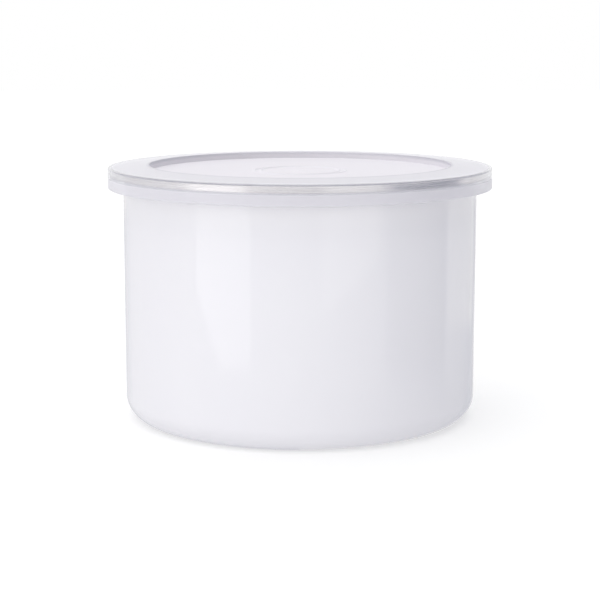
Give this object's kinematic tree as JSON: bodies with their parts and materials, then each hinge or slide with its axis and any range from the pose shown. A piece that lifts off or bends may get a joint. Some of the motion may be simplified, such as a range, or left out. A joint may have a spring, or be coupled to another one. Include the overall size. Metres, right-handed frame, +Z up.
{
  "type": "lidded enamel storage bowl",
  "caption": "Round straight-sided enamelled steel bowl with a rounded base edge, a steel rim ring and a translucent press-on lid with a stacking recess.",
  "frame": {"origin": "centre of the resting face, on the bowl's axis", "axes": "+Z up along the bowl's axis; the bowl is the same all round, so +X and +Y are free"},
  "size_m": [0.152, 0.152, 0.1008],
  "materials": {
    "steel_sheet": "drawn low-carbon sheet, bare under the enamel",
    "enamel_outside": "fired glossy white vitreous enamel",
    "enamel_inside": "fired glossy white vitreous enamel",
    "stainless_rim": "polished stainless strip, rolled over the rim",
    "lid_plastic": "translucent satin moulded polyethylene"
  },
  "bodies": {
    "bowl": {"steel_shell": "steel_sheet", "enamel_outside": "enamel_outside", "enamel_inside": "enamel_inside", "rim_ring": "stainless_rim"},
    "lid": {"lid": "lid_plastic"}
  },
  "joints": [
    {"name": "lid_lift", "type": "slide", "parent": "bowl", "child": "lid", "axis": [0, 0, 1], "range_m": [0, 0.12]}
  ]
}
